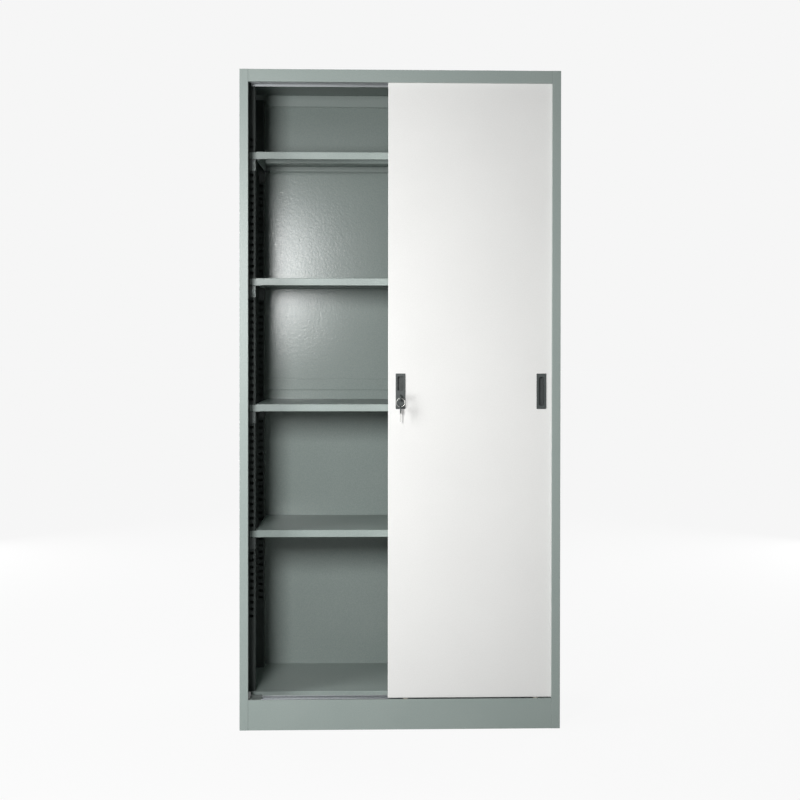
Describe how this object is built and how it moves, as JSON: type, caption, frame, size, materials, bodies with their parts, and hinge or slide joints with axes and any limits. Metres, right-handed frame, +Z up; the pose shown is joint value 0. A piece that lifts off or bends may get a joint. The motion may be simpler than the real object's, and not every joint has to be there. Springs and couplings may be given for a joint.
{
  "type": "sliding door cabinet",
  "caption": "Tall grey steel office cupboard with sliding off-white doors on rollers, recessed pulls, a keyed lock and hooked-in shelves.",
  "frame": {"origin": "middle of the footprint on the floor", "axes": "+X to the right seen from the front, +Y to the back, +Z up"},
  "size_m": [0.9, 0.4193, 1.85],
  "materials": {
    "carcass_paint": "light grey textured powder coat",
    "door_paint": "off-white textured powder coat",
    "bright_steel": "zinc plated steel",
    "rubber": "grey rubber",
    "nylon": "natural nylon",
    "dark_plastic": "dark grey fine-grained plastic",
    "lock_metal": "nickel plated die casting",
    "key_steel": "nickel plated steel"
  },
  "bodies": {
    "carcass": {"left_side_panel": "carcass_paint", "right_side_panel": "carcass_paint", "top_panel": "carcass_paint", "plinth": "carcass_paint", "bottom_deck": "carcass_paint", "bottom_track": "bright_steel", "top_track": "bright_steel", "track_stops": "rubber", "lower_back_panel": "carcass_paint", "upper_back_panel": "carcass_paint", "back_joint_strip": "carcass_paint", "shelf_stiffeners": "carcass_paint", "shelf_clips": "bright_steel", "front_left_upright": "carcass_paint", "front_right_upright": "carcass_paint", "rear_left_upright": "carcass_paint", "rear_right_upright": "carcass_paint", "shelf_1": "carcass_paint", "shelf_2": "carcass_paint", "shelf_3": "carcass_paint", "shelf_4": "carcass_paint"},
    "front_door": {"front_door_panel": "door_paint", "front_door_stiffener": "door_paint", "front_door_guides": "nylon", "front_door_roller_brackets": "bright_steel", "front_door_pull": "dark_plastic", "lock_housing": "dark_plastic", "lock_barrel": "lock_metal"},
    "rear_door": {"rear_door_panel": "door_paint", "rear_door_stiffener": "door_paint", "rear_door_guides": "nylon", "rear_door_roller_brackets": "bright_steel", "rear_door_pull": "dark_plastic", "strike_plate": "bright_steel"},
    "front_left_roller": {"front_left_roller": "nylon"},
    "front_right_roller": {"front_right_roller": "nylon"},
    "rear_left_roller": {"rear_left_roller": "nylon"},
    "rear_right_roller": {"rear_right_roller": "nylon"},
    "lock_plug": {"lock_plug": "lock_metal", "key": "key_steel", "key_head": "dark_plastic"},
    "key_ring": {"key_ring": "key_steel"},
    "spare_key": {"spare_key": "key_steel", "spare_key_head": "dark_plastic"},
    "lock_bolt": {"lock_bolt": "bright_steel"}
  },
  "joints": [
    {"name": "front_door_slide", "type": "slide", "parent": "carcass", "child": "front_door", "axis": [1, 0, 0], "range_m": [-0.397, 0]},
    {"name": "rear_door_slide", "type": "slide", "parent": "carcass", "child": "rear_door", "axis": [1, 0, 0], "range_m": [-0.397, 0]},
    {"name": "front_left_roller_spin", "type": "hinge", "parent": "front_door", "child": "front_left_roller", "pos_m": [0.015, -0.177, 0.0913], "axis": [0, 1, 0], "continuous": true},
    {"name": "front_right_roller_spin", "type": "hinge", "parent": "front_door", "child": "front_right_roller", "pos_m": [0.382, -0.177, 0.0913], "axis": [0, 1, 0], "continuous": true},
    {"name": "rear_left_roller_spin", "type": "hinge", "parent": "rear_door", "child": "rear_left_roller", "pos_m": [0.015, -0.143, 0.0913], "axis": [0, 1, 0], "continuous": true},
    {"name": "rear_right_roller_spin", "type": "hinge", "parent": "rear_door", "child": "rear_right_roller", "pos_m": [0.382, -0.143, 0.0913], "axis": [0, 1, 0], "continuous": true},
    {"name": "lock_turn", "type": "hinge", "parent": "front_door", "child": "lock_plug", "pos_m": [0, -0.19, 0.932], "axis": [0, 1, 0], "range_deg": [0, 90]},
    {"name": "lock_bolt_slide", "type": "slide", "parent": "front_door", "child": "lock_bolt", "axis": [0, 1, 0], "range_m": [0, 0.014]},
    {"name": "key_ring_swing", "type": "hinge", "parent": "lock_plug", "child": "key_ring", "pos_m": [0, -0.2103, 0.931], "axis": [0, 1, 0], "range_deg": [-15, 15]},
    {"name": "spare_key_swing", "type": "hinge", "parent": "key_ring", "child": "spare_key", "pos_m": [0, -0.2103, 0.907], "axis": [-1, 0, 0], "range_deg": [0, 60]}
  ],
  "couplings": [
    {"joint": "front_left_roller_spin", "follows": "front_door_slide", "rad_per_m": 107.53},
    {"joint": "front_right_roller_spin", "follows": "front_door_slide", "rad_per_m": 107.53},
    {"joint": "rear_left_roller_spin", "follows": "rear_door_slide", "rad_per_m": 107.53},
    {"joint": "rear_right_roller_spin", "follows": "rear_door_slide", "rad_per_m": 107.53},
    {"joint": "lock_turn", "follows": "lock_bolt_slide", "rad_per_m": 112.2}
  ]
}
